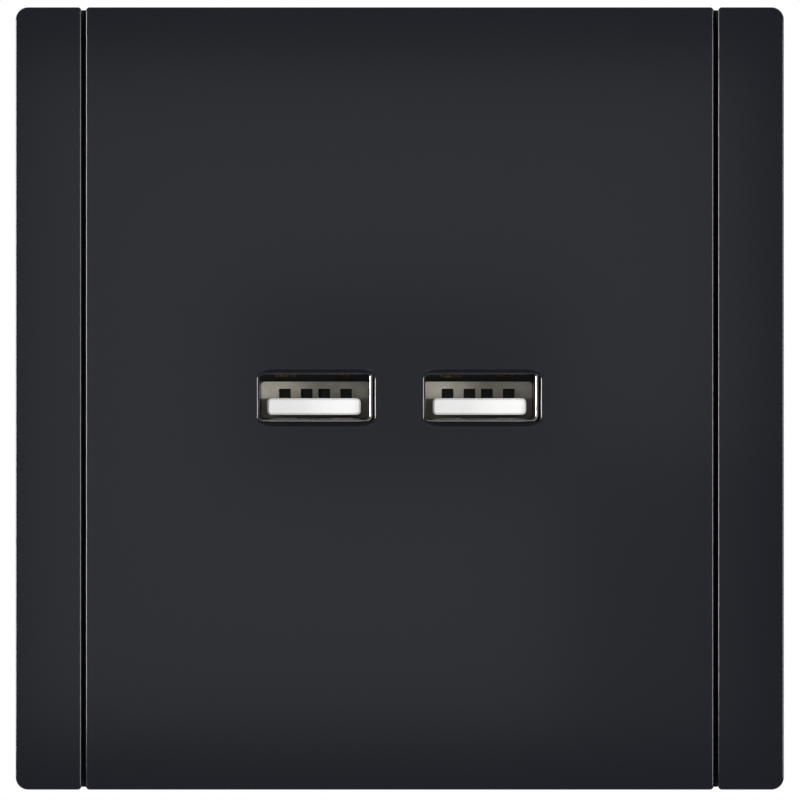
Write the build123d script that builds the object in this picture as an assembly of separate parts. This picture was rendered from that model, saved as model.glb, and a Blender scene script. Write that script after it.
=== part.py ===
from build123d import *
import os

# A double USB-A charging socket for a flush wall box.
# Millimetres. X runs right and Z up as the socket is seen on the wall, and Y runs into the wall.
# The origin is the middle of the plate, on the face of the wall.

# Front plate
PLATE_WIDTH = 86.0
PLATE_HEIGHT = 87.6
PLATE_DEPTH = 8.5
RAIL_WIDTH = 7.35
GROOVE_WIDTH = 0.52
GROOVE_DEPTH = 4.0
CORNER_RADIUS = 1.4
GROOVE_CORNER_RADIUS = 0.4
EDGE_RADIUS = 0.15
FRAME_WALL = 1.6
RAIL_SKIN = 1.8
RAIL_RIBS = 5
RIB_THICKNESS = 1.0
WINDOW_SIZE = 56.0
COLLAR_WALL = 1.4
COVER_SKIN = 2.0
SKIRT_WALL = 1.4

# Snap legs of the cover
LEG_WIDTH = 6.0
LEG_THICKNESS = 1.4
LEG_OFFSET = 24.0
LEG_SPACING = 24.0
BARB_REACH = 0.7
BARB_LENGTH = 1.6
BARB_SHOULDER = 0.4
BARB_TIP = 0.7
BARB_PLAY = 0.1
LEG_ROOM = 0.2

# Port apertures in the cover
PORT_PITCH = 18.6
PORT_RISE = 0.07
APERTURE_WIDTH = 12.9
APERTURE_HEIGHT = 5.2
APERTURE_RADIUS = 0.45
RIM_RADIUS = 0.3
LIP = 0.9
LIP_PLAY = 0.1
POCKET_ROOM = 0.3

# USB-A receptacles, which sit a little off the apertures
RECEPTACLE_SHIFT_X = -0.34
RECEPTACLE_SHIFT_Z = 0.2
SHELL_WIDTH = 12.5
SHELL_HEIGHT = 5.12
SHELL_CORNER = 0.4
SHELL_SHEET = 0.3
SHELL_LENGTH = 13.6
SHELL_MOUTH_ROUND = 0.15
SHELL_LEG_WIDTH = 2.2
SHELL_LEG_OUT = 1.0
FINGER_WIDTH = 2.4
FINGER_SPACING = 6.4
FINGER_SLIT = 0.35
FINGER_START = 1.6
FINGER_LENGTH = 6.4
FINGER_CREST = 1.6
FINGER_BULGE = 0.45
FINGER_TIP_BULGE = 0.12
LOWER_FINGER_BULGE = 0.2
INSULATOR_PLAY = 0.06
INSULATOR_STEP = 0.9
TONGUE_WIDTH = 10.5
TONGUE_THICKNESS = 1.84
TONGUE_DROP = 1.17
TONGUE_CORNER = 0.45
TONGUE_CHAMFER = 0.2
TONGUE_SETBACK = 1.1
TONGUE_LENGTH = 8.9
CONTACT_OFFSETS = (-3.5, -1.0, 1.0, 3.5)
CONTACT_WIDTH = 1.0
CONTACT_SHEET = 0.25
CONTACT_PLAY = 0.17
CONTACT_CREST = 0.05
CONTACT_CREST_PLACE = 3.0
CHANNEL_RISE = 1.1
CHANNEL_DEPTH = 0.32
CHANNEL_LIP = 1.0
TAIL_OUT = 1.0

# Support yoke
YOKE_SIZE = 71.0
YOKE_SHEET = 1.0
YOKE_CORNER = 4.0
FIXING_PITCH = 60.0
FIXING_SLOT_LENGTH = 7.6
FIXING_HOLE_RADIUS = 2.1
YOKE_WINDOW_EDGE = 2.0
YOKE_WINDOW_SHORT = 20.0

# Housings of the charger
HOUSING_SIZE = 42.0
HOUSING_CORNER = 5.0
HOUSING_WALL = 1.8
HOUSING_EDGE = 1.2
LEDGE = 1.0
FRONT_HOUSING_DEPTH = 4.6
FRONT_HOUSING_WALL = 1.6
PORT_ROOM = 0.3
POST_SIZE = 3.0
POST_EDGE = 2.0
POST_Z = 8.0
POST_PLAY = 0.1

# Screws that hold the housings and the yoke together
SCREW_EDGE = 4.9
SCREW_TUBE_RADIUS = 3.2
SCREW_WELL_RADIUS = 2.4
SCREW_HEAD_RADIUS = 2.2
SCREW_HEAD_HEIGHT = 1.6
SCREW_HEAD_EDGE = 0.4
SCREW_SHANK_RADIUS = 1.1
SCREW_SEAT = 6.0
SCREW_TIP_ROOM = 0.5
SCREW_CORE_SKIN = 0.6
SCREW_CORE_PLAY = 0.03
SCREW_PASSAGE = 1.6
RECESS_WIDTH = 0.7
RECESS_LENGTH = 2.4
RECESS_DEPTH = 1.0

# Charger board
BOARD_THICKNESS = 1.6
BOARD_PLAY = 0.2
BOARD_NOTCH_ROOM = 0.3
BOARD_NOTCH_RADIUS = 1.0
PIN_PLAY = 0.12

# Wire terminals
POLE_PITCH = 8.0
BLOCK_SIDE = 4.0
BLOCK_FRONT_WALL = 2.0
BLOCK_BACK_WALL = 2.6
BLOCK_ROOM = 0.3
BLOCK_EDGE = 0.4
CLAMP_TRAVEL = 3.0
CAGE_WIDTH = 4.4
CAGE_LENGTH = 5.0
CAGE_FLOOR = 0.8
CAGE_ROOF = 1.5
CAGE_SIDE = 0.7
CAGE_LIFT = 1.0
CAGE_PLAY = 0.25
CAGE_ROUND = 0.35
WIRE_ROOM = 3.4
WIRE_HOLE_RADIUS = 1.9
WIRE_FUNNEL = 0.8
BAR_WIDTH = 2.6
BAR_SHEET = 0.8
BAR_REACH = 2.2
BAR_PLAY = 0.1
BAR_SETBACK = 0.5
BAR_PIN_WIDTH = 1.4
BAR_HEADROOM = 0.2
CLAMP_SCREW_RADIUS = 1.45
CLAMP_THREAD_PLAY = 0.05
CLAMP_TIP_PLAY = 0.05
CLAMP_HEAD_RADIUS = 2.3
CLAMP_HEAD_HEIGHT = 1.6
CLAMP_HEAD_DEPTH = 0.6
CLAMP_HEAD_ROOM = 0.2
CLAMP_HEAD_PLAY = 0.1

# Parts on the board
LEAD_SIZE = 0.6
LEAD_PLAY = 0.1
LEAD_OUT = 1.2
PART_ROOM = 0.3
INPUT_CAN_RADIUS = 3.5
INPUT_CAN_HEIGHT = 12.0
INPUT_CAN_PITCH = 3.5
OUTPUT_CAN_RADIUS = 3.15
OUTPUT_CAN_HEIGHT = 11.0
OUTPUT_CAN_SPACING = 7.0
OUTPUT_CAN_EDGE = 0.85
OUTPUT_CAN_PITCH = 2.5
CRIMP_RISE = 1.2
CRIMP_WIDTH = 0.8
CRIMP_DEPTH = 0.35
CAN_EDGE = 0.4
ROUND_PART_RADIUS = 2.0
CHOKE_HEIGHT = 8.0
FUSE_HEIGHT = 7.0
ROUND_PART_X = 4.5
ROUND_PART_PITCH = 2.0
DISC_RADIUS = 3.2
DISC_THICKNESS = 3.4
DISC_EDGE = 1.2
DISC_WALL_ROOM = 1.5
DISC_LIFT = 1.5
DISC_PITCH = 4.0
CORE_ROOM = 1.0
CORE_LENGTH = 13.0
CORE_WIDTH = 12.4
CORE_THICKNESS = 4.6
CORE_LEG = 3.0
CORE_SIDE_LEG = 1.5
CORE_BACK = 1.8
CORE_PLAY = 0.15
BOBBIN_WALL = 0.6
BOBBIN_FLANGE = 0.7
BOBBIN_FLANGE_SIZE = 8.4
BOBBIN_RAIL_WIDTH = 2.0
BOBBIN_RAIL_HEIGHT = 2.4
BOBBIN_RAIL_LENGTH = 10.0
BOBBIN_AXIS = 5.6
BOBBIN_PINS = 3
BOBBIN_PIN_PITCH = 3.4
BOBBIN_PIN_SIZE = 0.6
WINDING_INSET = 0.3
WINDING_ROUND = 1.0
CHIP_FOOT = 0.9
CHIP_FOOT_HEIGHT = 0.9
CHIP_EDGE = 0.25
CHIP_ROOM = 0.6
BRIDGE_SIZE = (4.8, 3.9, 2.5)
BRIDGE_INSET = 5.0
BRIDGE_FEET = 2
CONTROLLER_SIZE = (4.9, 3.9, 1.5)
CONTROLLER_INSET = 4.5
CONTROLLER_FEET = 4
DIODE_SIZE = (6.6, 5.6, 2.3)
DIODE_FEET = 1

# Sizes that follow
COVER_WIDTH = PLATE_WIDTH - 2 * (RAIL_WIDTH + GROOVE_WIDTH)
FRONT = -PLATE_DEPTH
FLOOR = FRONT + GROOVE_DEPTH
WEB_BACK = FLOOR + FRAME_WALL
COVER_BACK = FRONT + COVER_SKIN
LIP_BACK = FRONT + LIP
YOKE_FRONT = -YOKE_SHEET
PORTS = {"left": -PORT_PITCH / 2, "right": PORT_PITCH / 2}
SHELL_MOUTH = LIP_BACK + LIP_PLAY
SHELL_Z = PORT_RISE + RECEPTACLE_SHIFT_Z
BOARD_FRONT = SHELL_MOUTH + SHELL_LENGTH
BOARD_BACK = BOARD_FRONT + BOARD_THICKNESS
BOARD_SIZE = HOUSING_SIZE - 2 * (HOUSING_WALL + BOARD_PLAY)
YOKE_WINDOW_LONG = HOUSING_SIZE - 2 * YOKE_WINDOW_EDGE
POST_X = BOARD_SIZE / 2 - POST_EDGE
SCREW_PLACE = HOUSING_SIZE / 2 - SCREW_EDGE
TUBE_REACH = SCREW_PLACE - SCREW_TUBE_RADIUS
REAR_CAVITY = BOARD_SIZE + 2 * BOARD_PLAY - 2 * LEDGE
TONGUE_TIP = SHELL_MOUTH + TONGUE_SETBACK
TONGUE_ROOT = TONGUE_TIP + TONGUE_LENGTH
TONGUE_TOP = TONGUE_THICKNESS / 2 - TONGUE_DROP
HOUSING_FRONT = YOKE_FRONT - FRONT_HOUSING_DEPTH
SCREW_CORE_END = HOUSING_FRONT + SCREW_CORE_SKIN
SCREW_TIP = SCREW_CORE_END + SCREW_TIP_ROOM
SCREW_PLACES = [(x, z) for x in (-SCREW_PLACE, SCREW_PLACE) for z in (-SCREW_PLACE, SCREW_PLACE)]
POLES = {"live": -POLE_PITCH / 2, "neutral": POLE_PITCH / 2}
CAGE_BASE = BOARD_BACK + CAGE_LIFT
BAR_FACE = CAGE_BASE + CAGE_FLOOR + WIRE_ROOM
BAR_TOP = BAR_FACE + BAR_SHEET
CAGE_TOP = BAR_TOP + BAR_HEADROOM + CAGE_ROOF
CLAMP_HEAD_SEAT = CAGE_TOP + CLAMP_TRAVEL + CLAMP_HEAD_ROOM
BLOCK_TOP = CLAMP_HEAD_SEAT + CLAMP_HEAD_HEIGHT + CLAMP_HEAD_DEPTH
HOUSING_INNER_BACK = BLOCK_TOP + BLOCK_ROOM
HOUSING_BACK = HOUSING_INNER_BACK + HOUSING_WALL
WIRE_HEIGHT = BAR_FACE - WIRE_ROOM / 2
BLOCK_ENTRY = -REAR_CAVITY / 2 + BLOCK_ROOM
CHAMBER_START = BLOCK_ENTRY + BLOCK_FRONT_WALL
CHAMBER_LENGTH = CAGE_LENGTH + 2 * CAGE_PLAY
CHAMBER_WIDTH = CAGE_WIDTH + 2 * CAGE_PLAY
CLAMP_Z = CHAMBER_START + CHAMBER_LENGTH / 2
BLOCK_END = CHAMBER_START + CHAMBER_LENGTH + BLOCK_BACK_WALL
BLOCK_WIDTH = POLE_PITCH + 2 * BLOCK_SIDE
BAR_PIN_Z = CHAMBER_START + CHAMBER_LENGTH + BAR_SETBACK + BAR_SHEET / 2
BAR_END = BAR_PIN_Z + BAR_SHEET / 2
TUBE_LENGTH = CORE_LENGTH - 2 * (CORE_BACK + CORE_PLAY)
TUBE_SIZE = (CORE_LEG + 2 * (CORE_PLAY + BOBBIN_WALL), CORE_THICKNESS + 2 * (CORE_PLAY + BOBBIN_WALL))
BOBBIN_LINE = BOARD_BACK + BOBBIN_AXIS
INPUT_CAN_X = REAR_CAVITY / 2 - PART_ROOM - INPUT_CAN_RADIUS
INPUT_CAN_Z = PART_ROOM + INPUT_CAN_RADIUS - TUBE_REACH
OUTPUT_CAN_X = TUBE_REACH - PART_ROOM - OUTPUT_CAN_RADIUS
OUTPUT_CAN_Z = REAR_CAVITY / 2 - OUTPUT_CAN_EDGE - OUTPUT_CAN_RADIUS - OUTPUT_CAN_SPACING / 2
ROUND_PART_Z = BLOCK_END + PART_ROOM + ROUND_PART_RADIUS
DISC_X = REAR_CAVITY / 2 - DISC_WALL_ROOM - DISC_THICKNESS / 2
DISC_Z = TUBE_REACH - PART_ROOM - DISC_RADIUS
CORE_X = CORE_ROOM + CORE_LENGTH / 2 - TUBE_REACH
CORE_Z = REAR_CAVITY / 2 - CORE_ROOM - CORE_WIDTH / 2
BRIDGE_PLACE = (CHIP_ROOM + BRIDGE_SIZE[0] / 2 + CHIP_FOOT - TUBE_REACH, BRIDGE_INSET - BOARD_SIZE / 2)
CONTROLLER_PLACE = (0.0, CONTROLLER_INSET - BOARD_SIZE / 2)
DIODE_PLACE = (CORE_X, CORE_Z)


# Solids between two depths
def slab(outline, back, front):
    return extrude(Plane.XZ.offset(-back) * outline, amount=back - front)


def block(x, z, width, height, back, front):
    return slab(Pos(x, z) * Rectangle(width, height), back, front)


def rod(x, z, radius, back, front):
    return slab(Pos(x, z) * Circle(radius), back, front)


def housing_outline(inset):
    """The housing's square with cut corners, drawn in by the same amount all round."""
    size = HOUSING_SIZE - 2 * inset
    corner = HOUSING_CORNER - inset * (2 - 2 ** 0.5)
    return chamfer(Rectangle(size, size).vertices(), corner)


def cross_recess(x, z, top):
    """The cross cut into a screw head whose top lies at that depth."""
    upright = block(x, z, RECESS_WIDTH, RECESS_LENGTH, top, top - RECESS_DEPTH)
    return upright + block(x, z, RECESS_LENGTH, RECESS_WIDTH, top, top - RECESS_DEPTH)


# Front plate
def side_rail():
    """The right-hand rail of the surround, above the floor of the groove."""
    centre = (PLATE_WIDTH - RAIL_WIDTH) / 2
    outline = Pos(centre, 0) * Rectangle(RAIL_WIDTH, PLATE_HEIGHT)
    outline = fillet(outline.vertices().group_by(Axis.X)[-1], CORNER_RADIUS)
    outline = fillet(outline.vertices().group_by(Axis.X)[0], GROOVE_CORNER_RADIUS)
    rail = slab(outline, FLOOR, FRONT)
    return fillet(rail.faces().sort_by(Axis.Y)[0].edges(), EDGE_RADIUS)


def rail_hollow():
    """The space inside the right-hand rail, crossed by stiffening ribs."""
    inner = PLATE_WIDTH / 2 - RAIL_WIDTH + FRAME_WALL
    outer = PLATE_WIDTH / 2 - FRAME_WALL
    middle = (inner + outer) / 2
    height = PLATE_HEIGHT - 2 * FRAME_WALL
    hollow = block(middle, 0, outer - inner, height, 0, FRONT + RAIL_SKIN)
    step = height / (RAIL_RIBS + 1)
    for number in range(1, RAIL_RIBS + 1):
        z = number * step - height / 2
        hollow -= block(middle, z, outer - inner, RIB_THICKNESS, WEB_BACK, FRONT)
    return hollow


def surround_frame():
    base = slab(RectangleRounded(PLATE_WIDTH, PLATE_HEIGHT, CORNER_RADIUS), 0, FLOOR)
    frame = base + side_rail() + mirror(side_rail(), about=Plane.YZ)
    inside = Rectangle(PLATE_WIDTH - 2 * FRAME_WALL, PLATE_HEIGHT - 2 * FRAME_WALL)
    frame -= slab(inside, 0, WEB_BACK)
    frame -= rail_hollow()
    frame -= mirror(rail_hollow(), about=Plane.YZ)
    collar_size = WINDOW_SIZE + 2 * COLLAR_WALL
    frame += block(0, 0, collar_size, collar_size, YOKE_FRONT, WEB_BACK)
    return frame - block(0, 0, WINDOW_SIZE, WINDOW_SIZE, YOKE_FRONT, FLOOR)


def leg_places():
    """Where the cover's snap legs stand, turned so that each barb looks outwards."""
    rows = (-LEG_SPACING / 2, LEG_SPACING / 2)
    right = [Pos(LEG_OFFSET, 0, z) * Rot(0, 90, 0) for z in rows]
    return right + [Pos(-LEG_OFFSET, 0, z) * Rot(0, -90, 0) for z in rows]


def snap_leg():
    """A sprung leg that runs back from the cover and grips behind the yoke."""
    catch = BARB_PLAY
    tip = catch + BARB_LENGTH
    points = [
        (COVER_BACK, 0),
        (tip, 0),
        (tip, BARB_TIP),
        (catch + BARB_SHOULDER, LEG_THICKNESS + BARB_REACH),
        (catch, LEG_THICKNESS + BARB_REACH),
        (catch, LEG_THICKNESS),
        (COVER_BACK, LEG_THICKNESS),
    ]
    profile = Plane.YZ * make_face(Polyline(*points, close=True))
    return extrude(profile, amount=LEG_WIDTH / 2, both=True)


def leg_slot():
    """The slot in the yoke that one snap leg passes through."""
    width = LEG_WIDTH + 2 * LEG_ROOM
    height = LEG_THICKNESS + 2 * LEG_ROOM
    return block(0, LEG_THICKNESS / 2, width, height, 0, YOKE_FRONT)


def centre_cover():
    cover = slab(RectangleRounded(COVER_WIDTH, PLATE_HEIGHT, GROOVE_CORNER_RADIUS), FLOOR, FRONT)
    cover = fillet(cover.faces().sort_by(Axis.Y)[0].edges(), EDGE_RADIUS)
    cover -= block(0, 0, COVER_WIDTH - 2 * SKIRT_WALL, PLATE_HEIGHT - 2 * SKIRT_WALL, FLOOR, COVER_BACK)
    aperture = RectangleRounded(APERTURE_WIDTH, APERTURE_HEIGHT, APERTURE_RADIUS)
    for x in PORTS.values():
        cover -= slab(Pos(x, PORT_RISE) * aperture, COVER_BACK, FRONT)
    rims = [wire.edges() for wire in cover.faces().sort_by(Axis.Y)[0].inner_wires()]
    cover = fillet(rims[0] + rims[1], RIM_RADIUS)
    for x in PORTS.values():
        width = SHELL_WIDTH + 2 * (SHELL_SHEET + POCKET_ROOM)
        height = SHELL_HEIGHT + 2 * (SHELL_SHEET + POCKET_ROOM)
        cover -= block(x + RECEPTACLE_SHIFT_X, SHELL_Z, width, height, COVER_BACK, LIP_BACK)
    return cover + [place * snap_leg() for place in leg_places()]


# Support yoke
def fixing_slots():
    """The four slots for the wall box screws, on a level line and an upright line."""
    reach = FIXING_PITCH / 2
    level = SlotOverall(FIXING_SLOT_LENGTH, 2 * FIXING_HOLE_RADIUS)
    upright = SlotOverall(FIXING_SLOT_LENGTH, 2 * FIXING_HOLE_RADIUS, rotation=90)
    slots = [Pos(side * reach, 0) * level for side in (-1, 1)]
    return slots + [Pos(0, side * reach) * upright for side in (-1, 1)]


def support_yoke():
    plate = slab(RectangleRounded(YOKE_SIZE, YOKE_SIZE, YOKE_CORNER), 0, YOKE_FRONT)
    plate -= block(0, 0, YOKE_WINDOW_LONG, YOKE_WINDOW_SHORT, 0, YOKE_FRONT)
    plate -= block(0, 0, YOKE_WINDOW_SHORT, YOKE_WINDOW_LONG, 0, YOKE_FRONT)
    for slot in fixing_slots():
        plate -= slab(slot, 0, YOKE_FRONT)
    for place in leg_places():
        plate -= place * leg_slot()
    for x, z in SCREW_PLACES:
        plate -= rod(x, z, SCREW_PASSAGE, 0, YOKE_FRONT)
    return plate


# Housings
def front_housing():
    shell = slab(housing_outline(0), YOKE_FRONT, HOUSING_FRONT)
    shell = chamfer(shell.faces().sort_by(Axis.Y)[0].edges(), HOUSING_EDGE)
    inner_front = HOUSING_FRONT + FRONT_HOUSING_WALL
    shell -= slab(housing_outline(HOUSING_WALL), YOKE_FRONT, inner_front)
    for x, z in SCREW_PLACES:
        shell += rod(x, z, SCREW_TUBE_RADIUS, YOKE_FRONT, inner_front)
    for x, z in SCREW_PLACES:
        core = SCREW_SHANK_RADIUS + SCREW_CORE_PLAY
        shell -= rod(x, z, core, YOKE_FRONT, SCREW_CORE_END)
    for x in PORTS.values():
        width = SHELL_WIDTH + 2 * (SHELL_SHEET + PORT_ROOM)
        height = SHELL_HEIGHT + 2 * (SHELL_SHEET + PORT_ROOM)
        shell -= block(x + RECEPTACLE_SHIFT_X, SHELL_Z, width, height, inner_front, HOUSING_FRONT)
    for x in (-POST_X, POST_X):
        for z in (-POST_Z, POST_Z):
            shell += block(x, z, POST_SIZE, POST_SIZE, BOARD_FRONT - POST_PLAY, inner_front)
    return shell


def rear_housing():
    shell = slab(housing_outline(0), HOUSING_BACK, 0)
    shell = fillet(shell.faces().sort_by(Axis.Y)[-1].edges(), HOUSING_EDGE)
    wall_depth = HOUSING_WALL + LEDGE
    shell -= slab(housing_outline(HOUSING_WALL), BOARD_BACK, 0)
    shell -= slab(housing_outline(wall_depth), HOUSING_INNER_BACK, BOARD_BACK)
    for x, z in SCREW_PLACES:
        shell += rod(x, z, SCREW_TUBE_RADIUS, HOUSING_INNER_BACK, 0)
    for x, z in SCREW_PLACES:
        shell -= rod(x, z, SCREW_WELL_RADIUS, HOUSING_BACK, SCREW_SEAT)
        shell -= rod(x, z, SCREW_PASSAGE, SCREW_SEAT, 0)
    outside = -HOUSING_SIZE / 2
    for x in POLES.values():
        shell -= rod(x, CLAMP_Z, CLAMP_HEAD_RADIUS + CLAMP_HEAD_ROOM, HOUSING_BACK, HOUSING_INNER_BACK)
        entry = Cylinder(WIRE_HOLE_RADIUS, wall_depth, align=(Align.CENTER, Align.CENTER, Align.MIN))
        funnel = Cone(WIRE_HOLE_RADIUS + WIRE_FUNNEL, WIRE_HOLE_RADIUS, WIRE_FUNNEL,
                      align=(Align.CENTER, Align.CENTER, Align.MIN))
        shell -= Pos(x, WIRE_HEIGHT, outside) * (entry + funnel)
    return shell


def housing_screw(x, z):
    """A pan-head screw, its head in the well of the rear housing and its tip in the front one."""
    top = SCREW_SEAT + SCREW_HEAD_HEIGHT
    head = rod(x, z, SCREW_HEAD_RADIUS, top, SCREW_SEAT)
    head = chamfer(head.faces().sort_by(Axis.Y)[-1].edges(), SCREW_HEAD_EDGE)
    shank = rod(x, z, SCREW_SHANK_RADIUS, SCREW_SEAT, SCREW_TIP)
    return head + shank - cross_recess(x, z, top)


# USB-A receptacles, drawn about their own axis and then set in place
def receptacle_place(x):
    return Pos(x + RECEPTACLE_SHIFT_X, 0, SHELL_Z)


def spring_finger(wall_reach, along, bulge):
    """A finger cut from a wall that lies at that reach above the axis, sprung inwards."""
    root = SHELL_MOUTH + FINGER_START + FINGER_LENGTH
    crown = SHELL_MOUTH + FINGER_START + FINGER_CREST
    tip = SHELL_MOUTH + FINGER_START + FINGER_SLIT
    inner = [(root, wall_reach), (crown, wall_reach - bulge), (tip, wall_reach - FINGER_TIP_BULGE)]
    outer = [(y, z + SHELL_SHEET) for y, z in reversed(inner)]
    profile = Plane.YZ * make_face(Polyline(*inner, *outer, close=True))
    return Pos(along, 0, 0) * extrude(profile, amount=FINGER_WIDTH / 2, both=True)


def finger_window(wall_reach, along):
    start = SHELL_MOUTH + FINGER_START
    width = FINGER_WIDTH + 2 * FINGER_SLIT
    return block(along, wall_reach + SHELL_SHEET / 2, width, SHELL_SHEET, start + FINGER_LENGTH, start)


def usb_shell(x):
    outer = RectangleRounded(SHELL_WIDTH + 2 * SHELL_SHEET, SHELL_HEIGHT + 2 * SHELL_SHEET,
                             SHELL_CORNER + SHELL_SHEET)
    inner = RectangleRounded(SHELL_WIDTH, SHELL_HEIGHT, SHELL_CORNER)
    shell = slab(outer - inner, BOARD_FRONT, SHELL_MOUTH)
    mouth = shell.faces().sort_by(Axis.Y)[0].inner_wires()[0]
    shell = fillet(mouth.edges(), SHELL_MOUTH_ROUND)
    side = FINGER_SPACING / 2
    fingers = [
        (Rot(0, 0, 0), SHELL_HEIGHT / 2, -side, FINGER_BULGE),
        (Rot(0, 0, 0), SHELL_HEIGHT / 2, side, FINGER_BULGE),
        (Rot(0, 180, 0), SHELL_HEIGHT / 2, -side, LOWER_FINGER_BULGE),
        (Rot(0, 180, 0), SHELL_HEIGHT / 2, side, LOWER_FINGER_BULGE),
        (Rot(0, 90, 0), SHELL_WIDTH / 2, 0, LOWER_FINGER_BULGE),
        (Rot(0, -90, 0), SHELL_WIDTH / 2, 0, LOWER_FINGER_BULGE),
    ]
    for turn, reach, along, bulge in fingers:
        shell -= turn * finger_window(reach, along)
        shell += turn * spring_finger(reach, along, bulge)
    for wall in (-1, 1):
        middle = wall * (SHELL_WIDTH + SHELL_SHEET) / 2
        shell += block(middle, 0, SHELL_SHEET, SHELL_LEG_WIDTH, BOARD_BACK + SHELL_LEG_OUT, BOARD_FRONT)
    return receptacle_place(x) * shell


def usb_insulator(x):
    bottom = -SHELL_HEIGHT / 2 + INSULATOR_PLAY
    top = SHELL_HEIGHT / 2 - INSULATOR_STEP
    body = RectangleRounded(SHELL_WIDTH - 2 * INSULATOR_PLAY, top - bottom, SHELL_CORNER)
    moulding = slab(Pos(0, (top + bottom) / 2) * body, BOARD_FRONT, TONGUE_ROOT)
    section = Pos(0, -TONGUE_DROP) * RectangleRounded(TONGUE_WIDTH, TONGUE_THICKNESS, TONGUE_CORNER)
    tongue = slab(section, TONGUE_ROOT, TONGUE_TIP)
    tongue = chamfer(tongue.faces().sort_by(Axis.Y)[0].edges(), TONGUE_CHAMFER)
    moulding += tongue
    width = CONTACT_WIDTH + 2 * CONTACT_PLAY
    channel_height = CHANNEL_RISE + CHANNEL_DEPTH
    channel_middle = TONGUE_TOP + (CHANNEL_RISE - CHANNEL_DEPTH) / 2
    groove_middle = TONGUE_TOP - CHANNEL_DEPTH / 2
    groove_tip = TONGUE_TIP + CHANNEL_LIP
    for offset in CONTACT_OFFSETS:
        moulding -= block(offset, channel_middle, width, channel_height, BOARD_FRONT, TONGUE_ROOT)
        moulding -= block(offset, groove_middle, width, CHANNEL_DEPTH, TONGUE_ROOT, groove_tip)
    return receptacle_place(x) * moulding


def usb_contacts(x):
    """Four springs that lie in the channels and end in tails through the board."""
    rest = TONGUE_TOP - CHANNEL_DEPTH
    crest = TONGUE_TOP + CONTACT_CREST - CONTACT_SHEET
    tip = TONGUE_TIP + CHANNEL_LIP + CONTACT_PLAY
    lower = [
        (BOARD_BACK + TAIL_OUT, rest),
        (TONGUE_ROOT, rest),
        (tip + CONTACT_CREST_PLACE, crest),
        (tip, rest),
    ]
    upper = [(y, z + CONTACT_SHEET) for y, z in reversed(lower)]
    profile = Plane.YZ * make_face(Polyline(*lower, *upper, close=True))
    spring = extrude(profile, amount=CONTACT_WIDTH / 2, both=True)
    springs = [receptacle_place(x) * Pos(offset, 0, 0) * spring for offset in CONTACT_OFFSETS]
    return Compound(children=springs)


# Wire terminals
def terminal_block():
    depth = BLOCK_END - BLOCK_ENTRY
    body = block(0, (BLOCK_ENTRY + BLOCK_END) / 2, BLOCK_WIDTH, depth, BLOCK_TOP, BOARD_BACK)
    body = chamfer(body.faces().sort_by(Axis.Y)[-1].edges(), BLOCK_EDGE)
    slot_width = BAR_WIDTH + 2 * BAR_PLAY
    slot_end = BAR_END + BAR_PLAY
    pin_start = slot_end - BAR_SHEET - 2 * BAR_PLAY
    for x in POLES.values():
        body -= block(x, CLAMP_Z, CHAMBER_WIDTH, CHAMBER_LENGTH, CLAMP_HEAD_SEAT, BOARD_BACK)
        body -= rod(x, CLAMP_Z, CLAMP_HEAD_RADIUS + CLAMP_HEAD_PLAY, BLOCK_TOP, CLAMP_HEAD_SEAT)
        body -= block(x, (CLAMP_Z + slot_end) / 2, slot_width, slot_end - CLAMP_Z, BAR_TOP + BAR_PLAY,
                      BAR_FACE - BAR_PLAY)
        body -= block(x, (pin_start + slot_end) / 2, slot_width, slot_end - pin_start, BAR_TOP, BOARD_BACK)
        entry = Cylinder(WIRE_ROOM / 2, BLOCK_FRONT_WALL, align=(Align.CENTER, Align.CENTER, Align.MIN))
        body -= Pos(x, WIRE_HEIGHT, BLOCK_ENTRY) * entry
    return body


def clamp_cage(x):
    """The rising cage at rest, open, with the wire's way through it along Z."""
    cage = block(x, CLAMP_Z, CAGE_WIDTH, CAGE_LENGTH, CAGE_TOP, CAGE_BASE)
    cage = fillet(cage.edges().filter_by(Axis.Z), CAGE_ROUND)
    way = CAGE_WIDTH - 2 * CAGE_SIDE
    cage -= block(x, CLAMP_Z, way, CAGE_LENGTH, CAGE_TOP - CAGE_ROOF, CAGE_BASE + CAGE_FLOOR)
    return cage - rod(x, CLAMP_Z, CLAMP_SCREW_RADIUS + CLAMP_THREAD_PLAY, CAGE_TOP, CAGE_TOP - CAGE_ROOF)


def clamp_screw(x):
    top = CLAMP_HEAD_SEAT + CLAMP_HEAD_HEIGHT
    head = rod(x, CLAMP_Z, CLAMP_HEAD_RADIUS, top, CLAMP_HEAD_SEAT)
    head = chamfer(head.faces().sort_by(Axis.Y)[-1].edges(), BLOCK_EDGE)
    shank = rod(x, CLAMP_Z, CLAMP_SCREW_RADIUS, CLAMP_HEAD_SEAT, BAR_TOP + CLAMP_TIP_PLAY)
    return head + shank - cross_recess(x, CLAMP_Z, top)


def terminal_bar(x):
    """The fixed bar above the wire, bent down into a solder pin."""
    start = CLAMP_Z - BAR_REACH
    bar = block(x, (start + BAR_END) / 2, BAR_WIDTH, BAR_END - start, BAR_TOP, BAR_FACE)
    bar += block(x, BAR_PIN_Z, BAR_WIDTH, BAR_SHEET, BAR_FACE, BOARD_BACK)
    return bar + block(x, BAR_PIN_Z, BAR_PIN_WIDTH, BAR_SHEET, BOARD_BACK, BOARD_FRONT - TAIL_OUT)


# Parts on the board
def lead_pair(x, z, pitch, upright=False):
    """The two places where a part's leads go through the board."""
    if upright:
        return [(x, z - pitch / 2), (x, z + pitch / 2)]
    return [(x - pitch / 2, z), (x + pitch / 2, z)]


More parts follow.
